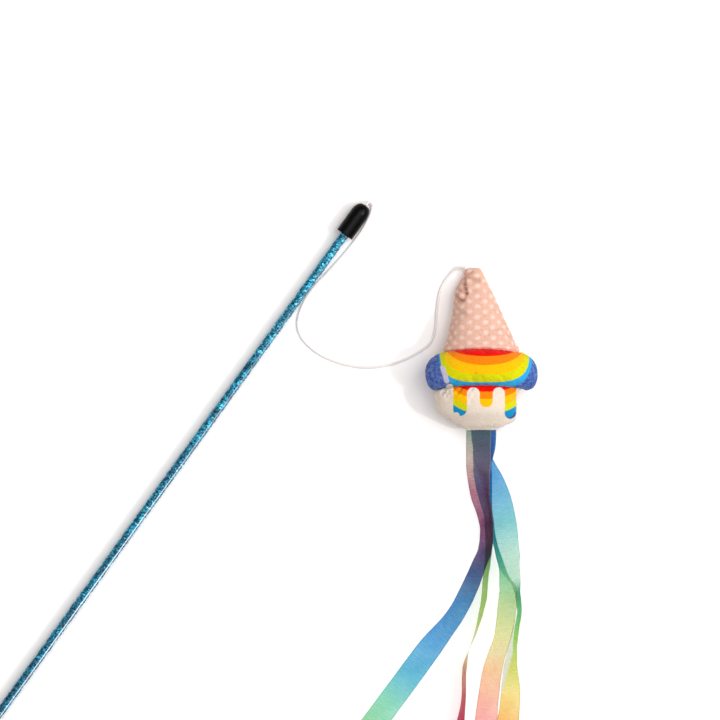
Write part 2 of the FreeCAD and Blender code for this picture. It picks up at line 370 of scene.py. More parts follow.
def foil_material():
    """Blue glitter film: each small facet has its own depth of blue, with a slow change along the roll."""
    material, tree, shader = new_material("blue_foil", Metallic=0.9)
    place = object_place(tree)
    longer = stretched(tree, place, (1.6, 1.0, 1.0))
    facet = add(tree, "ShaderNodeTexVoronoi", {"Vector": longer, "Scale": 1150.0})
    fleck = split(tree, facet.outputs["Color"])[0]
    slow = noise_at(tree, place, 150, 3, 0.6)
    from_middle = split(tree, place)[0] - NOSE.x / 2
    tone = fleck * 0.62 + slow * 0.42 + from_middle * 0.4
    blues = [
        (0.16, linear(0, 22, 44)),
        (0.38, linear(0, 68, 100)),
        (0.58, linear(0, 122, 154)),
        (0.78, linear(10, 172, 202)),
        (0.94, linear(110, 222, 240)),
    ]
    crinkle = noise_at(tree, place, 2600, 2)
    fill(tree, shader, Base_Color=ramp(tree, tone, blues), Roughness=spread(fleck, 0.18, 0.42),
         Normal=bump(tree, crinkle, 0.0001, 0.6))
    return material


def elastic_material():
    """White elastic: soft light in it, fine fibres and slow changes of shade."""
    material, tree, shader = new_material("white_elastic", Roughness=0.7, Sheen_Weight=0.35,
                                          Sheen_Roughness=0.4, Subsurface_Weight=0.15,
                                          Subsurface_Scale=0.0006)
    place = object_place(tree)
    fine = noise_at(tree, place, 4200, 3, 0.6)
    slow = noise_at(tree, place, 90, 2)
    whites = [(0.3, linear(214, 209, 208)), (0.7, linear(240, 236, 235))]
    colour = ramp(tree, fine * 0.6 + slow * 0.4, whites)
    fill(tree, shader, Base_Color=colour, Normal=bump(tree, fine, 0.00008, 0.6))
    return material


# ---- the camera, the floor and the light ----
VIEW_WIDTH = 0.3672
CAMERA_HEIGHT = 5.0
VIEW_CENTRE = NOSE - 0.0028 * PAGE_RIGHT - 0.0787 * PAGE_UP
FLOOR_REACH = 3.0
FLOOR_TONES = [(0.3, (0.93, 0.928, 0.926)), (0.7, (0.95, 0.948, 0.946))]
SKY_COLOUR = (1.0, 0.925, 0.905, 1)
SKY_STRENGTH = 0.47


def make_camera():
    data = bpy.data.cameras.new("camera")
    data.sensor_width = 36.0
    data.lens = data.sensor_width * CAMERA_HEIGHT / VIEW_WIDTH
    camera = new_object("camera", data)
    camera.location = Vector((VIEW_CENTRE.x, VIEW_CENTRE.y, FLOOR + CAMERA_HEIGHT))
    camera.rotation_euler = (0.0, 0.0, PAGE_TURN)
    bpy.context.scene.camera = camera


def make_floor():
    mesh = bpy.data.meshes.new("floor")
    corners = [(-1, -1), (1, -1), (1, 1), (-1, 1)]
    mesh.from_pydata([(x * FLOOR_REACH, y * FLOOR_REACH, FLOOR) for x, y in corners], [], [(0, 1, 2, 3)])
    floor = new_object("floor", mesh)
    material, tree, shader = new_material("floor_paper", Roughness=0.9, Specular_IOR_Level=0.1)
    fill(tree, shader, Base_Color=ramp(tree, noise_at(tree, object_place(tree), 3, 2), FLOOR_TONES))
    mesh.materials.append(material)
    floor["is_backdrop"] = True
    return floor


def keep_floor_under(floor, pieces):
    """Lets the floor sink with whatever hangs lower than the wand lies, so a swung toy is never below it."""
    tree = bpy.data.node_groups.new("floor_under_all", "GeometryNodeTree")
    for way in ("INPUT", "OUTPUT"):
        tree.interface.new_socket("Geometry", in_out=way, socket_type="NodeSocketGeometry")
    flat = add(tree, "NodeGroupInput").outputs["Geometry"]
    drop = 0.0
    for piece in pieces:
        shape = add(tree, "GeometryNodeObjectInfo", {"Object": piece}, transform_space="RELATIVE")
        box = add(tree, "GeometryNodeBoundBox", {"Geometry": shape.outputs["Geometry"]})
        height = split(tree, box.outputs["Min"])[2]
        drop = calc(tree, "MINIMUM", drop, height - (FLOOR - FLOOR_SLACK))
    fall = add(tree, "ShaderNodeCombineXYZ", {"Z": drop}).outputs[0]
    moved = add(tree, "GeometryNodeSetPosition", {"Geometry": flat, "Offset": fall}).outputs["Geometry"]
    add(tree, "NodeGroupOutput", {"Geometry": moved})
    floor.modifiers.new("under_all", "NODES").node_group = tree


def make_light(name, away, size, power, colour=(1, 1, 1)):
    """A round light aimed at the middle of the view. away says how far it is from there: right on the page,
    up the page and above the floor."""
    data = bpy.data.lights.new(name, "AREA")
    data.shape = "DISK"
    data.size = size
    data.energy = power
    data.color = colour
    light = new_object(name, data)
    target = Vector((VIEW_CENTRE.x, VIEW_CENTRE.y, FLOOR))
    light.location = target + away[0] * PAGE_RIGHT + away[1] * PAGE_UP + Vector((0, 0, away[2]))
    light.rotation_mode = "QUATERNION"
    light.rotation_quaternion = (target - light.location).to_track_quat("-Z", "Y")
    return light


def make_studio():
    scene = bpy.context.scene
    scene.view_settings.view_transform = "Standard"
    world = bpy.data.worlds.new("studio")
    world.use_nodes = True
    fill(world.node_tree, world.node_tree.nodes["Background"], Color=SKY_COLOUR, Strength=SKY_STRENGTH)
    scene.world = world
    make_light("key", (1.6, 0.45, 2.2), 2.5, 44.0, (1.0, 0.99, 0.975))
    make_light("top", (0.1, 0.3, 3.2), 2.4, 33.0)
    make_light("glint", (1.5, -0.2, 1.8), 0.1, 10.0)


def light_the_tube():
    """A small light that only the tube receives, for the thin line of light along its lower edge."""
    only_tube = bpy.data.collections.new("only_tube")
    only_tube.objects.link(bpy.data.objects["clear_tube"])
    tube_line = make_light("tube_line", (1.07, -1.08, 1.13), 0.1, 52.0)
    tube_line.light_linking.receiver_collection = only_tube


# ---- the cord: its route is the one that the model's tube follows, in metres from the nose ----
CORD_DIAMETER = 0.0013
CORD_HEIGHT = FLOOR + CORD_DIAMETER / 2
CORD_ROUTE = [
    (0.0002, 0.0, 0.0),
    (0.0027, 0.0001, -0.0007),
    (0.0029, -0.0020, -0.0029),
    (0.0006, -0.0037, CORD_HEIGHT),
    (-0.0034, -0.0049, CORD_HEIGHT),
    (-0.0105, -0.0061, CORD_HEIGHT),
    (-0.0205, -0.0060, CORD_HEIGHT),
    (-0.0344, -0.0049, CORD_HEIGHT),
    (-0.0510, -0.0024, CORD_HEIGHT),
    (-0.0622, -0.0038, CORD_HEIGHT),
    (-0.0702, -0.0073, CORD_HEIGHT),
    (-0.0746, -0.0140, CORD_HEIGHT),
    (-0.0756, -0.0252, CORD_HEIGHT),
    (-0.0728, -0.0373, CORD_HEIGHT),
    (-0.0668, -0.0494, CORD_HEIGHT),
    (-0.0572, -0.0592, CORD_HEIGHT),
    (-0.0462, -0.0655, CORD_HEIGHT),
    (-0.0353, -0.0691, CORD_HEIGHT),
    (-0.0186, -0.0584, CORD_HEIGHT),
    (-0.0096, -0.0550, CORD_HEIGHT),
    (-0.0014, -0.0556, -0.0035),
    (0.0021, -0.0564, -0.0023),
    (0.00345, -0.05875, -0.00165),
]
KNOT_GRIP = 0.0007  # how far the cord's end goes into the knot
CORD_STEP = 0.00016
CORD_SIDES = 24
BRAID_PITCH = 0.0022  # four of the braid's bumps along the cord
BRAID_STRANDS = 6  # half the bumps round it
ROUTE_STEPS = 10


def route_line(points):
    """The smooth line that a NURBS spline makes of the route's points."""
    data = bpy.data.curves.new("route", "CURVE")
    data.dimensions = "3D"
    data.resolution_u = ROUTE_STEPS
    spline = data.splines.new("NURBS")
    spline.points.add(len(points) - 1)
    for point, place in zip(spline.points, points):
        point.co = (NOSE.x + place[0], place[1], place[2], 1.0)
    spline.order_u = 3
    spline.use_endpoint_u = True
    holder = new_object("route", data)
    mesh = bpy.data.meshes.new_from_object(holder)
    line = np.array([v.co for v in mesh.vertices], float)
    bpy.data.objects.remove(holder)
    bpy.data.meshes.remove(mesh)
    return line


def frames_along(line):
    """Two crossways directions at each point, carried along without twist."""
    ahead = np.gradient(line, axis=0)
    ahead /= np.linalg.norm(ahead, axis=1)[:, None]
    side = np.empty_like(ahead)
    start = np.cross(ahead[0], [0.0, 0.0, 1.0])
    side[0] = start / np.linalg.norm(start)
    for i in range(1, len(line)):
        carried = side[i - 1] - ahead[i] * (side[i - 1] @ ahead[i])
        side[i] = carried / np.linalg.norm(carried)
    return side, np.cross(ahead, side)


def make_cord(material):
    line = route_line(CORD_ROUTE)
    last = line[-1] - line[-2]
    line[-1] += KNOT_GRIP * last / np.linalg.norm(last)
    places = travelled(line)
    length = float(places[-1])
    at = np.arange(0.0, length, CORD_STEP)
    fine = np.stack([np.interp(at, places, line[:, k]) for k in range(3)], axis=1)
    side, up = frames_along(fine)
    around = circle(CORD_SIDES)
    turn = 2 * math.pi * at[:, None] / BRAID_PITCH
    spokes = BRAID_STRANDS * around[None, :]
    strands = np.cos(spokes + turn * 2) * np.cos(spokes - turn * 2)
    radius = CORD_DIAMETER / 2 * (0.955 + 0.045 * strands)
    grid = (
        fine[:, None, :]
        + radius[..., None] * np.cos(around)[None, :, None] * side[:, None, :]
        + radius[..., None] * np.sin(around)[None, :, None] * up[:, None, :]
    )
    cloth = np.stack(np.broadcast_arrays(around[None, :], at[:, None] / MM), axis=-1)
    cord = grid_piece("elastic_cord_braid", grid, cloth, material, closed=True)
    close_ends(cord)
    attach(cord, "cord")
    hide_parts("elastic_cord")


def close_ends(piece):
    """Fill each open end of a tube."""
    work = bmesh.new()
    work.from_mesh(piece.data)
    bmesh.ops.holes_fill(work, edges=[e for e in work.edges if e.is_boundary], sides=0)
    work.to_mesh(piece.data)
    work.free()


# ---- the foil roll inside the tube ----
FOIL_STEP = 0.00055  # between its rings
FOIL_SIDES = 13
FOIL_PITCH = 0.021  # one turn of its grooves along the tube


def make_foil(material):
    low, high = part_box("glitter_foil")
    radius = (high.z - low.z) / 2
    rings = int((high.x - low.x) / FOIL_STEP)
    size = (rings, FOIL_SIDES)
    draws = np.random.default_rng(11)
    along = np.linspace(low.x, high.x, rings)[:, None]
    around = circle(FOIL_SIDES)[None, :]
    twist = 2 * math.pi * along / FOIL_PITCH
    groove = 0.05 * np.cos(around - twist) + 0.03 * np.cos(2 * around + 2.3 * twist)
    share = np.clip(0.93 + groove + 0.1 * draws.uniform(-1, 1, size), 0.6, 1.0)
    angle = around + 0.35 * draws.uniform(-1, 1, size) + 0.2 * np.arange(rings)[:, None]
    offset = FOIL_STEP * 0.8 * draws.uniform(-1, 1, size)
    x = np.clip(along + offset, low.x, high.x)
    grid = np.stack([x, radius * share * np.cos(angle), radius * share * np.sin(angle)], axis=-1)
    foil = grid_piece("glitter_foil_roll", grid, None, material, closed=True)
    shade_smooth(foil.data, False)
    close_ends(foil)
    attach(foil, "wand")
    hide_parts("glitter_foil")


def paint_node(name, material):
    node = frame["nodes"][name]
    node.data.materials.clear()
    node.data.materials.append(material)


def make_wand():
    rubber = rubber_material()
    for name in ("tip_cap", "handle_cap"):
        paint_node(name, rubber)
    paint_node("clear_tube", clear_material())
    make_foil(foil_material())


# ---- numbers that vary from place to place, always the same on each run ----
def value_noise(points, cell, seed):
    """Smooth noise from 0 to 1 at each point, with blobs about cell wide."""
    draws = np.random.default_rng(seed)
    table = draws.random(4096)
    shuffle = draws.permutation(4096)
    scaled = np.asarray(points, float) / cell
    whole = np.floor(scaled).astype(np.int64)
    part = scaled - whole
    part = part * part * (3 - 2 * part)
    total = np.zeros(scaled.shape[:-1])
    for corner in range(8):
        bits = np.array([(corner >> axis) & 1 for axis in range(3)])
        share = np.prod(np.where(bits, part, 1 - part), axis=-1)
        place = whole + bits
        index = (place[..., 0] * 73 + place[..., 1] * 1009 + place[..., 2] * 9176) % 4096
        total += share * table[shuffle[index]]
    return total


# ---- the plush toy, worked out on its own page in mm ----
# Places there are right of the pivot, down from it and height above the floor.
# Each row: down, middle of the width, half width, half thickness.
CONE_ROWS = [
    (0.1, 3.8, 0.1, 0.1),
    (0.0, 3.8, 2.2, 1.4),
    (0.5, 3.8, 3.9, 2.8),
    (4.0, 4.1, 5.5, 4.1),
    (11.0, 4.0, 9.0, 6.1),
    (21.0, 5.6, 11.9, 8.6),
    (32.0, 6.9, 15.6, 11.1),
    (38.0, 7.6, 17.9, 12.5),
    (40.6, 7.9, 19.0, 13.2),
    (41.7, 8.0, 19.1, 13.2),
]
SCOOP_ROWS = [
    (41.7, 8.0, 19.1, 13.2),
    (42.1, 8.0, 20.6, 14.0),
    (43.6, 7.9, 22.7, 15.1),
    (46.0, 7.8, 25.1, 16.1),
    (50.0, 7.8, 27.3, 17.0),
    (54.0, 7.9, 27.9, 17.3),
    (57.4, 8.0, 27.2, 17.0),
    (59.6, 7.9, 25.7, 16.2),
    (60.5, 7.6, 24.0, 15.3),
    (60.4, 6.9, 21.8, 14.3),
]
BASE_ROWS = [
    (60.4, 6.9, 21.8, 14.3),
    (61.2, 5.9, 21.4, 14.4),
    (64.0, 5.3, 21.2, 14.4),
    (68.0, 5.3, 20.7, 14.0),
    (73.5, 6.4, 19.5, 12.4),
    (77.5, 8.6, 15.9, 9.2),
    (80.0, 8.3, 11.6, 6.0),
    (81.7, 7.9, 8.3, 3.0),
    (82.5, 7.9, 7.5, 1.2),
]
SECTIONS = {"cone": (CONE_ROWS, 34), "scoop": (SCOOP_ROWS, 20), "base": (BASE_ROWS, 22)}
COLUMNS = 96
FINER = 4  # the shown mesh has this many times the rows and columns of the simulated one
LIES_DOWN_TO = 73.5  # beyond this the underside rises to the bottom seam
SEAM_HEIGHT = 11.4
SEAM_DOWN = 82.5
SEAM_RINGS = (41.7, 60.4)
SIDE_DROP = 2.0  # how much lower the ring seams are at the toy's sides
MOST_PUFF = 1.2
PUFF_SCALE = 0.01  # simulated at ten times the real size, where the solver is at ease
PUFF_FRAMES = 20


def section_rows(finer):
    """Rows from the tip to the bottom seam, and the row number at which each section starts."""
    rows, starts = [], [0]
    for stations, count in SECTIONS.values():
        stations = np.array(stations, float)
        travel = travelled(stations[:, [0, 2]])
        sampled = smooth_through(stations, travel, np.linspace(0, travel[-1], count * finer + 1))
        rows.append(sampled if not rows else sampled[1:])
        starts.append(starts[-1] + count * finer)
    return np.concatenate(rows), starts


def toy_surface(finer):
    rows, starts = section_rows(finer)
    down, middle, half_width, half_thickness = (rows[:, k, None] for k in range(4))
    angle = circle(COLUMNS * finer)[None]
    rise = smoothstep(LIES_DOWN_TO, SEAM_DOWN, down)
    centre = half_thickness * (1 - rise) + SEAM_HEIGHT * rise
    side = np.cos(angle) ** 2
    drop = sum(SIDE_DROP * (side - 0.3) * np.exp(-((down - ring) / 5.0) ** 2) for ring in SEAM_RINGS)
    height = centre + half_thickness * np.sin(angle) * np.where(np.sin(angle) < 0, 1.05, 1.0)
    rounded = 0.5 * (height + 0.1 + np.sqrt((height - 0.1) ** 2 + 0.5))
    pressed = rounded - 0.3 * np.exp(-np.maximum(height, 0.0) / 2.0)
    height = np.maximum(pressed, 0.06)
    points = np.stack(np.broadcast_arrays(middle + half_width * np.cos(angle), down + drop, height), axis=-1)
    return points, starts


def puffed(points, starts):
    """How far each point moves, in mm, in a short cloth simulation with air inside and the seams held."""
    scale = np.array([1.0, -1.0, 1.0]) * PUFF_SCALE
    rows, cols = points.shape[:2]
    mesh = bpy.data.meshes.new("puff")
    mesh.from_pydata((points.reshape(-1, 3) * scale).tolist(), [], grid_faces(rows, cols, True).tolist())
    body = new_object("puff", mesh)
    held = np.zeros((rows, cols))
    held[[0, 1, 2, 3, starts[1], starts[2], rows - 3, rows - 2, rows - 1], :] = 1.0
    held[:, [0, cols // 2]] = 1.0
    group = body.vertex_groups.new(name="held")
    group.add(np.flatnonzero(held.ravel() > 0).tolist(), 1.0, "REPLACE")
    cloth = body.modifiers.new("cloth", "CLOTH")
    cloth.settings.quality = 6
    cloth.settings.mass = 0.25
    cloth.settings.tension_stiffness = 14
    cloth.settings.compression_stiffness = 9
    cloth.settings.shear_stiffness = 6
    cloth.settings.bending_stiffness = 0.35
    cloth.settings.use_pressure = True
    cloth.settings.uniform_pressure_force = 4
    cloth.settings.effector_weights.gravity = 0
    cloth.settings.vertex_group_mass = "held"
    cloth.settings.shrink_min = -0.06
    cloth.settings.shrink_max = -0.06
    cloth.collision_settings.use_collision = False
    cloth.point_cache.frame_start = 1
    cloth.point_cache.frame_end = PUFF_FRAMES
    for number in range(1, PUFF_FRAMES + 1):
        bpy.context.scene.frame_set(number)
    shown = body.evaluated_get(bpy.context.evaluated_depsgraph_get()).data
    moved = np.array([v.co for v in shown.vertices], float).reshape(rows, cols, 3) / scale
    bpy.data.objects.remove(body)
    bpy.data.meshes.remove(mesh)
    bpy.context.scene.frame_set(1)
    change = moved - points
    far = np.linalg.norm(change, axis=-1, keepdims=True)
    return change * np.tanh(far / MOST_PUFF) * MOST_PUFF / np.maximum(far, 1e-6)


def refined(values, finer):
    """A closed grid's values at finer times the rows and columns."""
    rows, cols = values.shape[:2]
    at = np.arange((rows - 1) * finer + 1) / finer
    tall = smooth_through(values.reshape(rows, -1), np.arange(rows), at)
    tall = tall.reshape(-1, cols, 3)
    round_it = np.concatenate([tall[:, -2:], tall, tall[:, :3]], axis=1).transpose(1, 0, 2)
    at = np.arange(cols * finer) / finer
    wide = smooth_through(round_it.reshape(cols + 5, -1), np.arange(-2, cols + 3), at)
    return wide.reshape(cols * finer, -1, 3).transpose(1, 0, 2)


def outward(points):
    """The outward direction at each point of a closed grid."""
    along = np.gradient(points, axis=0)
    around = np.roll(points, -1, axis=1) - np.roll(points, 1, axis=1)
    normal = np.cross(along, around)
    normal /= np.maximum(np.linalg.norm(normal, axis=-1, keepdims=True), 1e-9)
    middle = points.mean(axis=1, keepdims=True)
    flip = np.sign(np.sum(normal * (points - middle), axis=-1)).mean()
    return normal * (1.0 if flip >= 0 else -1.0)


# The hand-sewn closing, down the cone's upper left. Each crease: from, to, half-width, depth and how dark
# the shade painted into it is.
# Each lump: middle, reach and height. Places are right of the pivot and down from it.
CREASES = [
    ((-1.0, 4.8), (2.9, 1.8), 0.75, 0.45, 0.45),
    ((0.9, 4.7), (6.8, 6.2), 0.75, 0.4, 0.4),
    ((-0.6, 5.0), (-0.9, 8.2), 0.75, 0.5, 0.5),
    ((-0.9, 8.2), (0.2, 12.6), 0.95, 0.9, 1.0),
    ((-3.2, 11.5), (-0.6, 11.8), 0.6, 0.45, 0.5),
    ((-4.5, 13.8), (-4.2, 15.0), 0.6, 0.4, 0.6),
    ((0.0, 12.8), (-0.8, 15.2), 0.7, 0.4, 0.4),
    ((-3.2, 16.3), (-1.4, 16.4), 0.9, 0.8, 1.0),
]
LUMPS = [
    ((-2.4, 9.4), 1.3, 0.5),
    ((-2.6, 13.9), 1.5, 0.6),
    ((2.2, 9.6), 1.8, 0.35),
    ((3.6, 3.6), 1.5, 0.35),
]


def closing_relief(points):
    """Outward shift in mm where the closing's stitches pull the cloth in, and how dark the shade painted
    into each crease is.
    """
    shift = np.zeros(points.shape[:2])
    shade = np.zeros(points.shape[:2])
    for first, second, half_width, depth, dark in CREASES:
        first, span = np.array(first), np.subtract(second, first)
        offset = points[..., :2] - first
        share = np.clip((offset @ span) / (span @ span), 0, 1)
        distance = np.linalg.norm(offset - share[..., None] * span, axis=-1)
        shift -= depth * np.exp(-((distance / half_width) ** 2))
        shade = np.maximum(shade, dark * np.exp(-((distance / half_width / 1.4) ** 2)))
    for middle, reach, height in LUMPS:
        shift += height * np.exp(-((np.linalg.norm(points[..., :2] - middle, axis=-1) / reach) ** 2))
    return shift, shade


def seam_relief(points, starts, distance_down):
    """Outward shift in mm along every seam: a narrow sewn-in line with puckers that fade out beside it."""
    rows, cols = points.shape[:2]
    angle = 2 * math.pi * np.arange(cols) / cols
    draws = np.random.default_rng(5)
    shift = np.zeros((rows, cols))
    for start, pucker in zip(starts[1:3], (0.2, 0.12)):
        reach = distance_down - distance_down[start]
        stitches = 0.8 + 0.2 * np.cos(angle * 52)[None, :]
        shift -= 0.35 * stitches * np.exp(-((reach / 0.5) ** 2))
        puckers = sum(np.cos(angle * count + draws.uniform(0, 6.28)) for count in (17, 26, 33, 41)) / 4
        shift += pucker * puckers[None, :] * np.exp(-np.abs(reach) / 2.0)
    girth = np.linalg.norm(np.roll(points, -1, axis=1) - points, axis=-1).sum(axis=1, keepdims=True)
    for place in (0, cols // 2):
        away = np.abs(np.arange(cols) - place)
        away = np.minimum(away, cols - away)[None, :] * girth / cols
        shift -= 0.3 * np.exp(-((away / 0.5) ** 2))
        waves = np.cos(2 * math.pi * distance_down / 3.1 + 2.0 * np.sin(distance_down / 5.0))
        shift += 0.08 * waves * np.exp(-away / 2.2)
    return shift


def nap_relief(points, facing):
    """Outward shift in mm of the short pile's tufts, and of the crumpled tip where it faces up or down."""
    tufts = value_noise(points, 0.8, 21) - 0.5
    tips = value_noise(points, 0.45, 22) - 0.5
    slow = value_noise(points, 9.0, 23) - 0.5
    at_tip = 1 - smoothstep(9.0, 19.0, points[..., 1])
    crumpled = (value_noise(points * [1.0, 0.7, 1.0], 3.4, 24) - 0.5) * at_tip
    return 0.13 * tufts + 0.08 * tips + 0.35 * slow + 0.9 * crumpled * smoothstep(0.3, 0.8, facing)


def cloth_places(points):
    """For a panel's grid: how far each point is across the fabric from the panel's middle line, and down the
    page."""
    across = np.linalg.norm(np.diff(points, axis=1), axis=-1)
    across = np.concatenate([np.zeros((len(points), 1)), np.cumsum(across, axis=1)], axis=1)
    middle_column = points.shape[1] // 2
    across = across - across[:, middle_column:middle_column + 1]
    if points[-1, 0, 0] > points[-1, -1, 0]:
        across = -across
    centre_line = points[:, middle_column, :2]
    return np.stack([across + centre_line[:, :1], points[..., 1]], axis=-1)


# ---- the toy's printed plush ----
FOLD_SHADE = (0.46, 0.32, 0.27)  # painted shade: the colour in the depth of a fold is multiplied towards this


def plush_shader(name, print_colour, dark):
    """Short-pile plush. print_colour makes the printed colour, and the pile varies it, down to dark in the
    gaps. The closing's creases get painted shade."""
    material, tree, shader = new_material(name, Roughness=0.92, Sheen_Weight=0.07, Sheen_Roughness=0.45,
                                          Specular_IOR_Level=0.12)
    page = page_coordinates(tree)
    frayed = combined(tree, "SUBTRACT", noise_at(tree, page, 2.6, 2, 0.6, "Color"), (0.5, 0.5, 0.5))
    wander = add(tree, "ShaderNodeVectorMath", {0: frayed, "Scale": 0.45}, operation="SCALE").outputs[0]
    colour = print_colour(tree, combined(tree, "ADD", page, wander), wander)
    pile = noise_at(tree, stretched(tree, page, (3.4, 1.5, 3.4)), 1.0, 4, 0.65)
    tufts = noise_at(tree, page, 0.9)
    slow = noise_at(tree, page, 0.12)
    tone = pile * 0.6 + tufts * 0.4
    shade = spread(step(tone, 0.30, 0.56), dark, 1.0) * spread(slow, 0.94, 1.05)
    grey = add(tree, "ShaderNodeCombineColor", {0: shade, 1: shade, 2: shade}).outputs[0]
    varied = blend_colours(tree, 1.0, colour, grey, "MULTIPLY")
    # painted shade: the closing's creases are darkened towards FOLD_SHADE
    crease_shade_share = Number(tree, add(tree, "ShaderNodeAttribute", attribute_name="painted_crease_shade").outputs["Fac"])
    varied = blend_colours(tree, crease_shade_share * 0.85, varied, FOLD_SHADE, "MULTIPLY")
    fine = noise_at(tree, page, 4.5, 3, 0.6)
    fill(tree, shader, Base_Color=varied, Normal=bump(tree, tone * 0.7 + fine * 0.3, 0.0004, 0.4))
    return material


PRINT_EDGE = 0.35  # how soft the arcs' printed edges are, in mm


def inside_arc(right, down, centre, top, half_width, depth, power=2.0):
    """1 inside a hanging arc, 0 outside, with a soft printed edge."""
    across = abs((right - centre) / half_width) ** power
    fall = larger((down - top) / depth, 0.0) ** power
    reach = (across + fall) ** (1.0 / power)
    soft = PRINT_EDGE / depth
    return below(reach, 1.0 - soft / 2, 1.0 + soft / 2)


def bar_distance(right, down, centre, half_width, end, towards):
    """Distance in mm outside a bar with one rounded end. towards is 1 where the bar comes from above."""
    beyond = larger((down - (end - towards * half_width)) * towards, 0.0)
    return length_of(right - centre, beyond) - half_width


RED = linear(226, 7, 0)
ORANGE = linear(240, 128, 4)
YELLOW = linear(240, 184, 0)
LIME = linear(206, 206, 0)
LIGHT_BLUE = linear(42, 160, 218)
ROYAL_BLUE = linear(48, 78, 156)
PALE_ROYAL = linear(104, 132, 192)
CYAN = linear(0, 138, 192)
CREAM = linear(226, 213, 198)
PEACH = linear(222, 177, 158)
DOT_WHITE = linear(233, 204, 190)
LAVENDER = linear(196, 192, 214)
# Each hanging arc, the outer ones first: middle, half width, depth, power of its curve, colour inside.
SCOOP_ARCS = [
    (10.0, 23.8, 21.0, 3.0, LIGHT_BLUE),
    (9.5, 22.7, 17.1, 3.3, LIME),
    (9.5, 20.2, 13.0, 3.0, YELLOW),
    (9.7, 19.2, 8.4, 2.0, ORANGE),
    (9.6, 16.6, 3.9, 2.0, RED),
]
SCOOP_TOP = 41.0
# The same for the bottom, all with one middle and a plain curve: half width, depth, colour inside.
BASE_ARCS = [(22.0, 15.0, LIME), (20.0, 11.5, YELLOW), (17.0, 7.1, ORANGE), (14.2, 3.4, RED)]
BASE_MIDDLE = 10.0
BASE_TOP = 59.5
DRIPS = [(-3.05, 3.5, 75.3), (10.2, 3.33, 70.8), (22.6, 3.0, 76.7)]  # middle, half width, lower end
# The cream between them: middle, half width, upper end.
CREAM_FINGERS = [(3.68, 3.2, 60.7), (16.6, 3.05, 60.7), (-4.9, 1.7, 73.4)]
DOT_PLACE = (5.9, 25.0)  # one dot's place on the cloth, across and down
DOT_PITCH = (4.1, 2.65)  # from there to a dot in the next row
DOT_STRETCH = (1.55, 1.2)


def page_right_down(tree, page):
    axes = split(tree, page)
    return axes[0], axes[1] * -1.0


def cone_print(tree, page, wander):
    """Small warm-white dots on peach, in a staggered grid that follows the cloth."""
    axes = split(tree, combined(tree, "ADD", cloth_coordinates(tree), wander))
    pitch_right, pitch_down = DOT_PITCH
    right = (axes[0] - DOT_PLACE[0]) / (2 * pitch_right)
    down = (axes[1] - DOT_PLACE[1]) / (2 * pitch_down)
    first, second = right + down, down - right
    first = first - calc(tree, "ROUND", first)
    second = second - calc(tree, "ROUND", second)
    across = (first - second) * (pitch_right / DOT_STRETCH[0])
    along = (first + second) * (pitch_down / DOT_STRETCH[1])
    reach = length_of(across, along)
    return blend_colours(tree, below(reach, 0.35, 1.35), PEACH, DOT_WHITE)


def scoop_print(tree, page, wander):
    """Rainbow arcs that hang from the cone's edge, with blue to each side."""
    right, down = page_right_down(tree, page)
    mottle = step(noise_at(tree, page, 0.55, 4, 0.6), 0.35, 0.7)
    colour = blend_colours(tree, mottle, ROYAL_BLUE, PALE_ROYAL)
    for centre, half_width, depth, power, inner in SCOOP_ARCS:
        arc = inside_arc(right, down, centre, SCOOP_TOP, half_width, depth, power)
        colour = blend_colours(tree, arc, colour, inner)
    slant = right - (down - 54.4) * 0.3
    mark_top = bar_distance(slant, down, -10.8, 1.25, 49.7, -1)
    mark_end = bar_distance(slant, down, -10.8, 1.25, 58.7, 1)
    mark = larger(mark_top, mark_end)
    colour = blend_colours(tree, below(mark, -0.2, 0.25), colour, LAVENDER)
    cream = bar_distance(right, down, -8.3, 1.75, 59.0, -1)
    return blend_colours(tree, below(cream, -0.2, 0.25), colour, CREAM)


def base_print(tree, page, wander):
    """Cream, with the rainbow running down it in three drips."""
    right, down = page_right_down(tree, page)
    bands = CYAN
    for half_width, depth, inner in BASE_ARCS:
        arc = inside_arc(right, down, BASE_MIDDLE, BASE_TOP, half_width, depth)
        bands = blend_colours(tree, arc, bands, inner)
    painted = larger(abs(right - 9.6) - 16.1, down - 63.6)
    for centre, half_width, end in DRIPS:
        painted = smaller(painted, bar_distance(right, down, centre, half_width, end, 1))
    for centre, half_width, end in CREAM_FINGERS:
        painted = larger(painted, bar_distance(right, down, centre, half_width, end, -1) * -1.0)
    beside_drip = step(bar_distance(right, down, 21.7, 3.0, 76.0, 1), -0.2, 0.2)
    rim = beside_drip * (step(down, 72.8, 73.8) * step(right, 15.0, 16.0))
    bands = blend_colours(tree, rim, bands, ROYAL_BLUE)
    return blend_colours(tree, below(painted, -0.17, 0.17), CREAM, bands)


def thread_material(name, colour):
    material, tree, shader = new_material(name, Roughness=0.6, Sheen_Weight=0.3)
    twist = noise_at(tree, stretched(tree, object_place(tree), (1.0, 5.0, 5.0), (0, 0, 0.6)), 1500)
    shades = [(0.3, tuple(0.75 * c for c in colour)), (0.7, colour)]
    fill(tree, shader, Base_Color=ramp(tree, twist, shades), Normal=bump(tree, twist, 0.0001, 0.7))
    return material


def tubes_piece(name, lines, material):
    """Round threads along lines of points in the row frame, as one piece."""
    work = bmesh.new()
    around = [(math.cos(angle), math.sin(angle)) for angle in circle(THREAD_SIDES)]
    for line in lines:
        side, up = frames_along(line)
        rings = []
        for place, across, over in zip(line, side, up):
            ring = [work.verts.new(place + THREAD_RADIUS * (c * across + s * over)) for c, s in around]
            rings.append(ring)
        for first, second in zip(rings[:-1], rings[1:]):
            for k in range(THREAD_SIDES):
                work.faces.new((first[k - 1], first[k], second[k], second[k - 1]))
        work.faces.new(rings[0])
        work.faces.new(rings[-1][::-1])
    bmesh.ops.recalc_face_normals(work, faces=work.faces)
    mesh = bpy.data.meshes.new(name)
    work.to_mesh(mesh)
    work.free()
    shade_smooth(mesh, True)
    return piece_of(name, mesh, material)


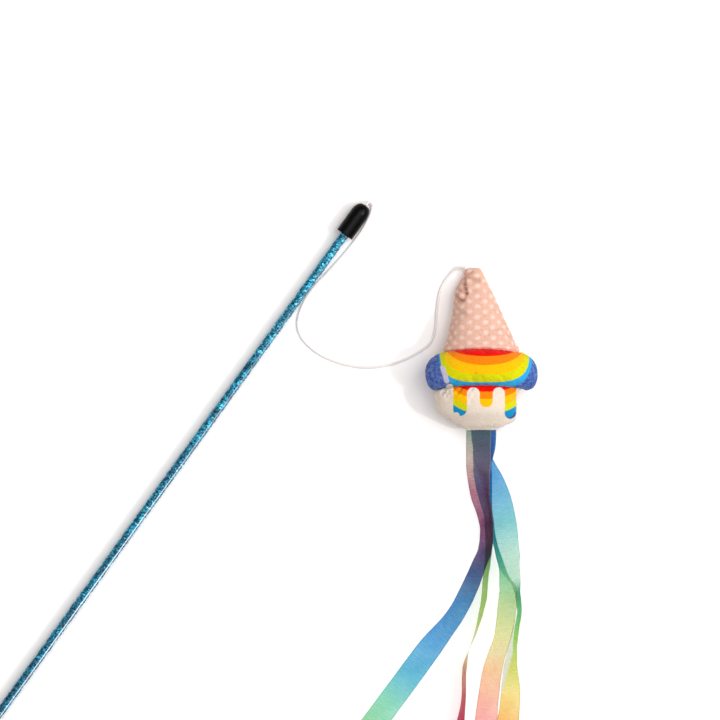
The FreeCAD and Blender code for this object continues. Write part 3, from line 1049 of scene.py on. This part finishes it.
PRINTS = {  # each section's slot, print, and how dark its pile's gaps are
    "cone": ("peach_plush", cone_print, 0.74),
    "scoop": ("rainbow_plush", scoop_print, 0.74),
    "base": ("cream_plush", base_print, 0.86),
}


def make_toy():
    shape, starts = toy_surface(FINER)
    coarse, coarse_starts = toy_surface(1)
    puff = puffed(coarse, coarse_starts) * smoothstep(2.0, 22.0, coarse[..., 1:2])
    shape = shape + refined(puff, FINER)
    distance_down = travelled(shape[:, shape.shape[1] // 4])[:, None]
    normal = outward(shape)
    fade = smoothstep(0.0, 3.0, distance_down)
    front = smoothstep(0.0, 0.45, normal[..., 2])
    closing, painted_folds = closing_relief(shape)
    nap = nap_relief(shape, np.abs(normal[..., 2])) * (0.3 + 0.7 * fade)
    shift = seam_relief(shape, starts, distance_down) + closing * front + nap
    shape = shape + shift[..., None] * normal
    shape[..., 2] = np.maximum(shape[..., 2], 0.03)
    half = shape.shape[1] // 2
    wrapped = np.concatenate([shape, shape[:, :1]], axis=1)
    # painted shade of the closing's creases, kept on each point for the plush material
    painted_folds = painted_folds * front
    painted_folds = np.concatenate([painted_folds, painted_folds[:, :1]], axis=1).astype(np.float32)
    for k, (section, (slot, print_colour, dark)) in enumerate(PRINTS.items()):
        fabric = plush_shader(slot, print_colour, dark)
        rows = slice(starts[k], starts[k + 1] + 1)
        for side, first in (("front", 0), ("back", half)):
            columns = slice(first, first + half + 1)
            panel = wrapped[rows, columns]
            name = f"{section}_{side}_plush"
            piece = grid_piece(name, page_points(panel), cloth_places(panel), fabric)
            depth = piece.data.attributes.new("painted_crease_shade", "FLOAT", "POINT")
            depth.data.foreach_set("value", painted_folds[rows, columns].ravel())
            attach(piece, "toy")
            nodes = [f"{section}_{side}_panel"]
            if (section, side) == ("scoop", "front"):
                nodes.append("stuffing")
            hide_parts(*nodes)
    return wrapped


# ---- the stitches, placed in mm on the toy's page ----
THREAD_RADIUS = 0.00017  # in metres
THREAD_SIDES = 8
STITCH_POINTS = 9
CLOSING_STITCHES = [
    ((-2.3, 6.6), (-0.1, 7.6)),
    ((-1.7, 9.3), (1.0, 9.7)),
    ((-1.9, 11.9), (1.0, 12.0)),
    ((-2.9, 14.2), (-0.4, 15.2)),
    ((-4.4, 15.5), (-2.6, 17.2)),
]
SEAM_STITCHES = np.arange(1.2, 15.0, 1.9)  # where each starts
SEAM_STITCH_LENGTH = 1.3
SEAM_STITCH_DOWN = 82.1


def make_stitches(surface):
    """Hand stitches across the closing, and a running stitch across the ribbons in the bottom seam."""
    thread = thread_material("sewing_thread", linear(226, 178, 158))
    front = surface[:, :surface.shape[1] // 2 + 1].reshape(-1, 3)
    shares = np.linspace(0, 1, STITCH_POINTS)
    arch = np.sin(shares * math.pi)
    lines = []
    for first, second in CLOSING_STITCHES:
        line = []
        for share in shares:
            right = first[0] * (1 - share) + second[0] * share
            down = first[1] * (1 - share) + second[1] * share
            near = np.argmin((front[:, 0] - right) ** 2 + (front[:, 1] - down) ** 2)
            line.append([right, down, front[near, 2]])
        line = np.array(line)
        straight = np.linspace(line[0, 2], line[-1, 2], STITCH_POINTS) + 0.25 * arch - 0.1
        line[:, 2] = np.maximum(straight, line[:, 2] * 0.6 + straight * 0.4)
        lines.append(page_points(line))
    closing = tubes_piece("closing_stitch_loops", lines, thread)
    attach(closing, "toy")
    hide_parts("closing_stitches")

    cream = thread_material("seam_thread", linear(236, 224, 208))
    lines = []
    for start in SEAM_STITCHES:
        rights = start + SEAM_STITCH_LENGTH * shares
        downs = np.full_like(shares, SEAM_STITCH_DOWN)
        lines.append(page_points(np.stack([rights, downs, SEAM_HEIGHT + 1.25 + 0.35 * arch], axis=1)))
    seam = tubes_piece("ribbon_seam_stitches", lines, cream)
    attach(seam, "toy")
    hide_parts("ribbon_stitches")


# ---- the organza ribbons, in mm on the toy's page ----
RIBBON_WIDTH = 12.7
# Each point: right of the pivot, down from it, roll in degrees with the right edge up, height of the middle.
RIBBON_WAYS = {
    "a": [
        (6.7, 81.6, 0, 11.9), (6.5, 90.3, 8, 11.0), (6.5, 97.9, 10, 9.9), (6.5, 105.6, 25, 9.5),
        (7.4, 115.8, 41, 8.9), (9.2, 123.4, 51, 8.6), (10.5, 131.0, 58, 8.4), (10.6, 136.5, 59, 8.2),
        (10.2, 141.2, 58, 7.8), (9.3, 145.5, 57, 7.0), (6.7, 151.5, 54, 5.8), (2.3, 162.3, 50, 5.5),
        (-4.7, 176.2, 46, 4.9), (-11.9, 185.6, 37, 4.2), (-19.3, 195.0, 20, 2.6),
        (-26.5, 204.8, 15, 2.0), (-33.7, 214.6, 15, 2.0), (-48.1, 234.1, 10, 1.5),
        (-72.0, 268.0, 0, 0.4),
    ],
    "b": [
        (9.1, 81.6, 0, 11.5), (9.0, 90.3, 25, 9.6), (8.3, 97.9, 43, 6.3), (7.9, 105.6, 54, 5.5),
        (9.1, 115.8, 66, 6.1), (10.8, 123.4, 71, 6.4), (11.6, 131.0, 74, 6.4), (11.8, 138.7, 75, 6.5),
        (11.6, 144.8, 76, 6.5), (11.2, 149.0, 77, 6.5), (10.5, 155.0, 78, 6.6), (9.9, 161.7, 78, 6.6),
        (9.4, 167.8, 78, 6.6), (7.9, 175.4, 80, 6.6), (5.4, 184.6, 85, 6.7), (2.4, 192.8, 90, 6.7),
        (0.1, 200.4, 99, 6.6), (-0.8, 208.0, 100, 6.6), (-1.0, 218.8, 102, 6.6), (-2.3, 230.5, 109, 6.4),
        (-4.0, 250.0, 130, 5.2), (-8.0, 282.0, 150, 3.5),
    ],
    "c": [
        (9.1, 81.6, 0, 11.1), (9.2, 90.3, 25, 9.2), (8.6, 97.9, 43, 6.0), (9.9, 101.7, 55, 6.3),
        (11.0, 105.6, 66, 7.0), (12.2, 118.3, 80, 7.3), (13.3, 128.5, 80, 7.0), (14.2, 136.2, 80, 7.0),
        (15.3, 141.8, 80, 7.0), (16.8, 146.9, 76, 6.9), (18.3, 151.5, 74, 6.9), (19.8, 157.6, 66, 6.3),
        (21.3, 162.2, 50, 5.6), (21.9, 165.8, 41, 5.8), (21.3, 171.4, 41, 4.8), (20.0, 182.1, 44, 4.7),
        (18.4, 189.7, 49, 5.1), (15.8, 197.4, 46, 4.9), (13.5, 206.0, 40, 4.4), (12.2, 215.2, 36, 4.0),
        (11.2, 222.9, 33, 3.8), (10.5, 230.5, 28, 3.3), (8.0, 250.0, 10, 1.4), (5.0, 288.0, 0, 0.4),
    ],
    "d": [
        (9.1, 81.6, 0, 10.7), (9.4, 90.3, 25, 8.8), (8.9, 97.9, 43, 5.6), (10.6, 100.5, 45, 5.1),
        (12.8, 106.1, 32, 3.7), (14.9, 111.7, 20, 2.5), (17.1, 118.3, 10, 1.4), (18.8, 125.5, 8, 1.2),
        (20.0, 132.0, 6, 1.0), (20.9, 141.2, 8, 1.3), (22.0, 148.0, 20, 2.5), (23.0, 152.3, 38, 4.3),
        (25.0, 158.2, 62, 6.0), (26.3, 165.0, 77, 6.5), (27.0, 170.3, 79, 6.6), (27.3, 175.4, 79, 6.6),
        (25.4, 184.6, 75, 6.5), (23.7, 194.8, 68, 6.3), (23.0, 205.0, 55, 5.6), (23.0, 215.0, 41, 4.6),
        (22.3, 225.4, 37, 4.2), (21.4, 232.0, 30, 3.6), (20.0, 250.0, 10, 1.4), (16.0, 284.0, 0, 0.4),
    ],
}
# The dye seen over white, by distance down the page.
RIBBON_DYES = {
    "a": [
        (82, (150, 178, 160)), (98, (206, 186, 174)), (114, (192, 134, 150)), (130, (156, 94, 132)),
        (146, (104, 88, 134)), (158, (86, 116, 166)), (172, (96, 158, 206)), (190, (112, 180, 224)),
        (208, (124, 200, 220)), (222, (160, 222, 200)), (245, (170, 216, 160)),
    ],
    "b": [
        (82, (120, 172, 217)), (98, (96, 156, 220)), (112, (84, 150, 214)), (126, (120, 165, 180)),
        (136, (135, 120, 105)), (146, (105, 170, 110)), (160, (150, 190, 105)), (180, (180, 206, 120)),
        (192, (218, 220, 180)), (204, (200, 160, 130)), (216, (190, 108, 110)), (230, (186, 60, 90)),
        (260, (200, 90, 140)),
    ],
    "c": [
        (82, (120, 172, 217)), (98, (90, 155, 215)), (112, (50, 145, 190)), (138, (30, 150, 165)),
        (150, (90, 190, 172)), (160, (172, 222, 178)), (172, (214, 230, 184)), (188, (238, 236, 186)),
        (204, (247, 217, 180)), (228, (246, 194, 188)), (260, (240, 170, 190)),
    ],
    "d": [
        (82, (110, 172, 220)), (98, (88, 168, 226)), (112, (130, 192, 226)), (130, (152, 212, 216)),
        (146, (200, 230, 218)), (158, (204, 234, 216)), (165, (72, 166, 138)), (178, (110, 190, 120)),
        (190, (160, 208, 104)), (202, (210, 222, 124)), (216, (243, 232, 160)), (230, (243, 206, 136)),
        (260, (246, 180, 120)),
    ],
}
RIBBON_SLOTS = {
    "a": "organza_blue_green",
    "b": "organza_purple_green_red",
    "c": "organza_yellow_pink",
    "d": "organza_aqua_yellow",
}
# a pale colour laid over a strip of ribbon d's left part, tapering above and below
PALE_STRIP = linear(224, 230, 218)
PALE_STRIP_DOWN = {"d": 195.0}
RAMP_START = 80.0  # the dye ramps run from here down the page
RAMP_LENGTH = 200.0
WARP_PITCH = 0.28  # between threads that run along the ribbon
WEFT_PITCH = 0.32  # between threads that run across it
RIBBON_STEP = 0.9  # between the mesh's rows
RIBBON_COLUMNS = 17


def organza_material(name, dyes, pale_strip_down=None):
    """Sheer dyed organza: open weave that light goes through, with denser edges and faint streaks. With
    pale_strip_down, a pale strip runs down its left part and tapers away above and below there."""
    material, tree, shader = new_material(name, Roughness=0.45, Sheen_Weight=0.25, Specular_IOR_Level=0.4)
    across, along = split(tree, cloth_coordinates(tree))[:2]
    cloth = add(tree, "ShaderNodeCombineXYZ", {"X": across, "Y": along}).outputs[0]
    drift = noise_at(tree, stretched(tree, cloth, (0.12, 0.12, 1)), 1.0, 3)
    share = ((drift - 0.5) * 9.0 + along - RAMP_START) / RAMP_LENGTH
    colour = ramp(tree, share, [((down - RAMP_START) / RAMP_LENGTH, linear(*dye)) for down, dye in dyes])
    streaks = noise_at(tree, stretched(tree, cloth, (0.2, 1.9, 1)), 1.0, 4, 0.6)
    strength = spread(streaks + drift, 0.8, 1.2, start=0.7, end=1.3)
    toned = add(tree, "ShaderNodeGamma", {"Color": colour, "Gamma": strength}).outputs[0]
    selvedge = below(RIBBON_WIDTH / 2 - abs(across), 0.3, 0.55)
    deeper = add(tree, "ShaderNodeGamma", {"Color": toned, "Gamma": 1.3}).outputs[0]
    darker = blend_colours(tree, 1.0, deeper, (0.82, 0.82, 0.82), "MULTIPLY")
    dyed = blend_colours(tree, selvedge, toned, darker)
    if pale_strip_down is not None:
        strip = below(across + abs(along - pale_strip_down) * 0.3, 0.4, 1.6)
        dyed = blend_colours(tree, strip, dyed, PALE_STRIP)
    warp = calc(tree, "SINE", across * (2 * math.pi / WARP_PITCH))
    weft = calc(tree, "SINE", along * (2 * math.pi / WEFT_PITCH))
    threads = (warp + weft) * 0.5
    fill(tree, shader, Base_Color=dyed, Normal=bump(tree, threads, 0.00003, 0.5))
    cover = calc(tree, "ADD", threads * 0.06 + 0.24, selvedge * 0.5 + (streaks - 0.5) * 0.18, clamp=True)
    glow = add(tree, "ShaderNodeBsdfTranslucent", {"Color": dyed}).outputs[0]
    tint = blend_colours(tree, 1.0, dyed, (0.9, 0.9, 0.9), "MULTIPLY")
    through = add(tree, "ShaderNodeBsdfTransparent", {"Color": tint}).outputs[0]
    show(tree, mixed(tree, cover, through, mixed(tree, 0.45, shader.outputs[0], glow)))
    return material


def make_ribbon(letter, seed):
    way = np.array(RIBBON_WAYS[letter], float)
    chord = travelled(way[:, [0, 1, 3]])
    line = smooth_through(way, chord, np.linspace(0, chord[-1], int(chord[-1] / RIBBON_STEP)))
    middle = line[:, [0, 1, 3]] * [1.0, -1.0, 1.0]
    ahead = np.gradient(middle, axis=0)
    ahead /= np.linalg.norm(ahead, axis=1)[:, None]
    level = np.cross(ahead, [0.0, 0.0, 1.0])
    level = -level if level[0, 0] < 0 else level
    level /= np.linalg.norm(level, axis=1)[:, None]
    over = np.cross(ahead, level)
    roll = np.radians(line[:, 2])[:, None]
    across_way = level * np.cos(roll) + over * np.sin(roll)
    face = np.cross(across_way, ahead)
    across = np.linspace(-RIBBON_WIDTH / 2, RIBBON_WIDTH / 2, RIBBON_COLUMNS)
    travel = travelled(middle)
    places = np.stack(np.broadcast_arrays(across[None, :] * 0.9, travel[:, None], 0.0), axis=-1)
    settle = smoothstep(2.0, 12.0, travel)[:, None]
    broad = (value_noise(places, 9.0, seed) - 0.5) * 0.5
    narrow = (value_noise(places * [0.5, 1, 1], 4.0, seed + 1) - 0.5) * 0.22
    ripple = ((broad + narrow) * settle)[..., None]
    grid = middle[:, None, :] + across[None, :, None] * across_way[:, None, :] + ripple * face[:, None, :]
    grid[..., 2] = np.maximum(grid[..., 2], 0.12)
    cloth = np.stack(np.broadcast_arrays(across[None, :], line[:, 1:2]), axis=-1)
    grid[..., 1] *= -1.0
    slot = RIBBON_SLOTS[letter]
    organza = organza_material(slot, RIBBON_DYES[letter], PALE_STRIP_DOWN.get(letter))
    ribbon = grid_piece(f"ribbon_{letter}_sheet", page_points(grid), cloth, organza)
    ribbon.visible_shadow = False  # so sheer that it casts none on a pale floor
    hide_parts(f"ribbon_{letter}")
    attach(ribbon, f"ribbon_{letter}")


make_camera()
floor = make_floor()
make_studio()
elastic = elastic_material()
make_cord(elastic)
for knot in ("tip_knot", "toy_knot"):
    paint_node(knot, elastic)
make_wand()
make_stitches(make_toy())
for number, letter in enumerate("abcd"):
    make_ribbon(letter, 40 + 7 * number)

keep_floor_under(floor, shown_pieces())
light_the_tube()
